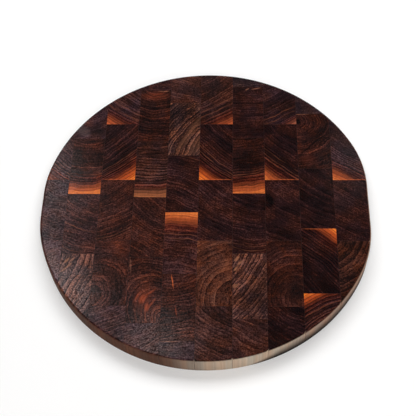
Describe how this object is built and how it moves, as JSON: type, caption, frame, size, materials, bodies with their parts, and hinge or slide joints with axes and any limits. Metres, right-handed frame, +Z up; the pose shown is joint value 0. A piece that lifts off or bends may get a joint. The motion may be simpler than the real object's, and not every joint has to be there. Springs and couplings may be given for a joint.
{
  "type": "pizza board",
  "caption": "Round end-grain walnut board of staggered glued blocks, with softened rim edges and two eased flats, for cutting and serving a pizza.",
  "frame": {"origin": "centre of the round, on the underside", "axes": "+Z up out of the serving face, +Y along the strips, +X across the strips towards the deep flat"},
  "size_m": [0.3714, 0.38, 0.025],
  "materials": {
    "dark": "oiled satin",
    "brown": "oiled satin",
    "figured": "oiled satin",
    "sap_edged": "oiled satin",
    "glue": "matte"
  },
  "bodies": {
    "root": {"strip_a_front_2": "dark", "strip_a_front_1": "dark", "strip_a_back_1": "sap_edged", "strip_b_front_2": "figured", "strip_b_front_1": "dark", "strip_b_back_1": "sap_edged", "strip_b_back_2": "dark", "strip_c_front_3": "dark", "strip_c_front_2": "brown", "strip_c_front_1": "dark", "strip_c_back_1": "sap_edged", "strip_c_back_2": "sap_edged", "strip_d_front_3": "dark", "strip_d_front_2": "figured", "strip_d_front_1": "dark", "strip_d_back_1": "sap_edged", "strip_d_back_2": "brown", "strip_d_back_3": "dark", "strip_e_front_3": "dark", "strip_e_front_2": "dark", "strip_e_front_1": "sap_edged", "strip_e_back_1": "dark", "strip_e_back_2": "figured", "strip_e_back_3": "brown", "strip_f_front_3": "brown", "strip_f_front_2": "brown", "strip_f_front_1": "dark", "strip_f_back_1": "sap_edged", "strip_f_back_2": "sap_edged", "strip_g_front_3": "brown", "strip_g_front_2": "figured", "strip_g_front_1": "dark", "strip_g_back_1": "sap_edged", "strip_g_back_2": "brown", "strip_g_back_3": "dark", "strip_h_front_3": "dark", "strip_h_front_2": "brown", "strip_h_front_1": "dark", "strip_h_back_1": "sap_edged", "strip_h_back_2": "sap_edged", "strip_i_front_2": "sap_edged", "strip_i_front_1": "sap_edged", "strip_i_back_1": "dark", "strip_i_back_2": "brown", "strip_i_back_3": "dark", "strip_j_front_2": "brown", "strip_j_front_1": "dark", "strip_j_back_1": "sap_edged", "glue_lines": "glue"}
  },
  "joints": []
}
